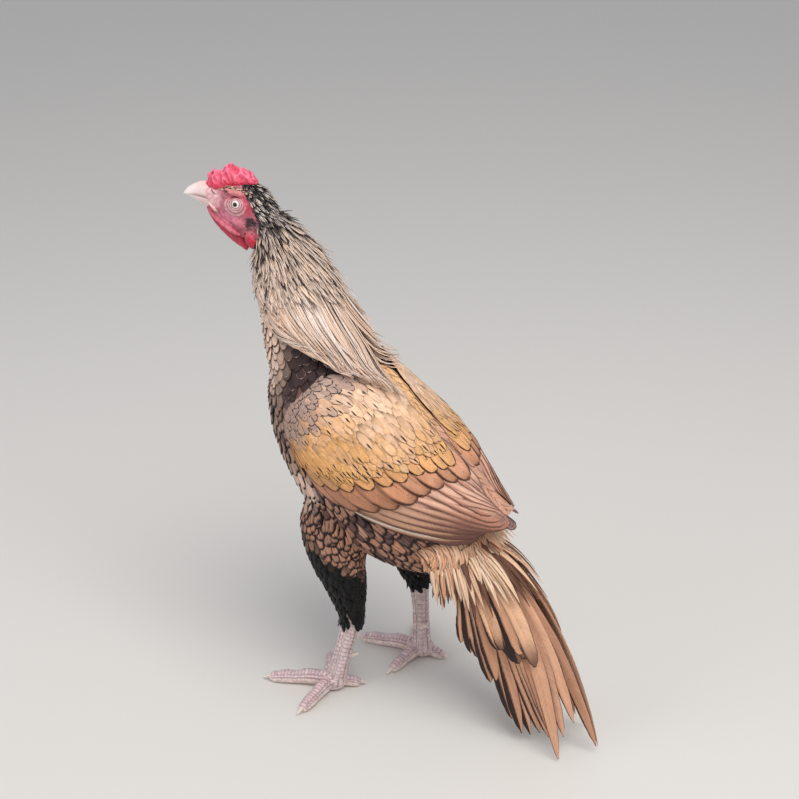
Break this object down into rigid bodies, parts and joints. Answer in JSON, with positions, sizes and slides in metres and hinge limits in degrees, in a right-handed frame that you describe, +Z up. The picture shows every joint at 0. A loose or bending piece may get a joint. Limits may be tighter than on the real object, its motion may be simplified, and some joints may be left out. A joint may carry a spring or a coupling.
{
  "type": "aseel rooster",
  "caption": "Upright game rooster standing still, with a lumpy comb, cream hackle cape, golden folded wings, black thighs and a drooping brown tail.",
  "frame": {"origin": "middle of the bounding box at floor level, where the soles rest", "axes": "+Z up; the bird faces -Y, its tail at +Y; its left side at +X"},
  "size_m": [0.2322, 0.5116, 0.605],
  "materials": {
    "face_skin": "bare pinkish red skin, fine folds",
    "comb_skin": "bright red soft skin, pebbled, slightly moist",
    "beak_horn": "pale pinkish horn, satin",
    "eye_pearl": "wet pearl-white iris with a black pupil",
    "hackle_feather": "cream hackle feathers with dark shaft streaks, black and white at the nape",
    "body_feather": "buff-pink breast feathers laced dark brown",
    "wing_feather": "golden bow with black dots, buff-brown coverts edged dark, pinkish-buff flights",
    "saddle_feather": "long pointed cream saddle feathers",
    "tail_feather": "brown-orange tail feathers with dark edges and tips",
    "thigh_feather": "black feathered drumsticks, brown laced above",
    "leg_scale": "pale pinkish-white scaled skin",
    "claw_horn": "pale horn claws and spurs"
  },
  "bodies": {
    "root": {"beak_lower": "beak_horn", "beak_upper": "beak_horn", "claw_hind_left": "claw_horn", "claw_hind_right": "claw_horn", "claw_inner_left": "claw_horn", "claw_inner_right": "claw_horn", "claw_middle_left": "claw_horn", "claw_middle_right": "claw_horn", "claw_outer_left": "claw_horn", "claw_outer_right": "claw_horn", "comb": "comb_skin", "dewlap": "comb_skin", "earlobe_left": "comb_skin", "earlobe_right": "comb_skin", "eye_left": "eye_pearl", "eye_right": "eye_pearl", "foot_left": "leg_scale", "foot_right": "leg_scale", "head": "face_skin", "neck": "hackle_feather", "rump": "saddle_feather", "shank_left": "leg_scale", "shank_right": "leg_scale", "spur_left": "claw_horn", "spur_right": "claw_horn", "tail": "tail_feather", "thigh_left": "thigh_feather", "thigh_right": "thigh_feather", "torso": "body_feather", "wing_left": "wing_feather", "wing_right": "wing_feather"}
  },
  "joints": []
}
